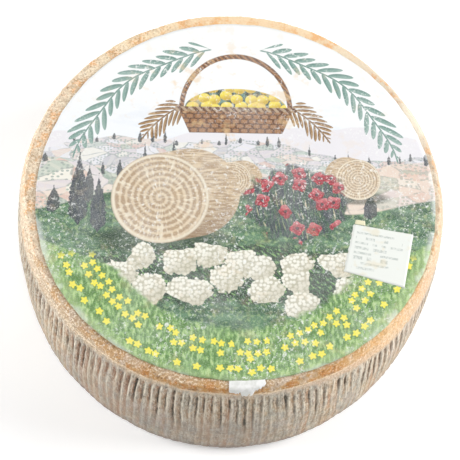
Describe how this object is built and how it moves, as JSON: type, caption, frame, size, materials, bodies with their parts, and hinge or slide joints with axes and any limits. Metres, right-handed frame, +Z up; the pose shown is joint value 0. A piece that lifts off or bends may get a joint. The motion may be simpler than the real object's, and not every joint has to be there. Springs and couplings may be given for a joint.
{
  "type": "pecorino",
  "caption": "Whole aged pecorino wheel: low ribbed drum of cheese with rounded shoulders and a large round printed paper label covering its flat top.",
  "frame": {"origin": "centre of the wheel's outline on the face that it rests on", "axes": "+Z up out of the labelled top, +Y towards the top of the label's picture, -Y towards the front, +X to the right as the label is read"},
  "size_m": [0.2504, 0.2508, 0.0816],
  "materials": {
    "rind": "matte",
    "label_paper": "satin",
    "sticker_paper": "matte",
    "scrap_paper": "matte"
  },
  "bodies": {
    "root": {"wheel": "rind", "label": "label_paper", "sticker": "sticker_paper", "paper_scrap": "scrap_paper"}
  },
  "joints": []
}
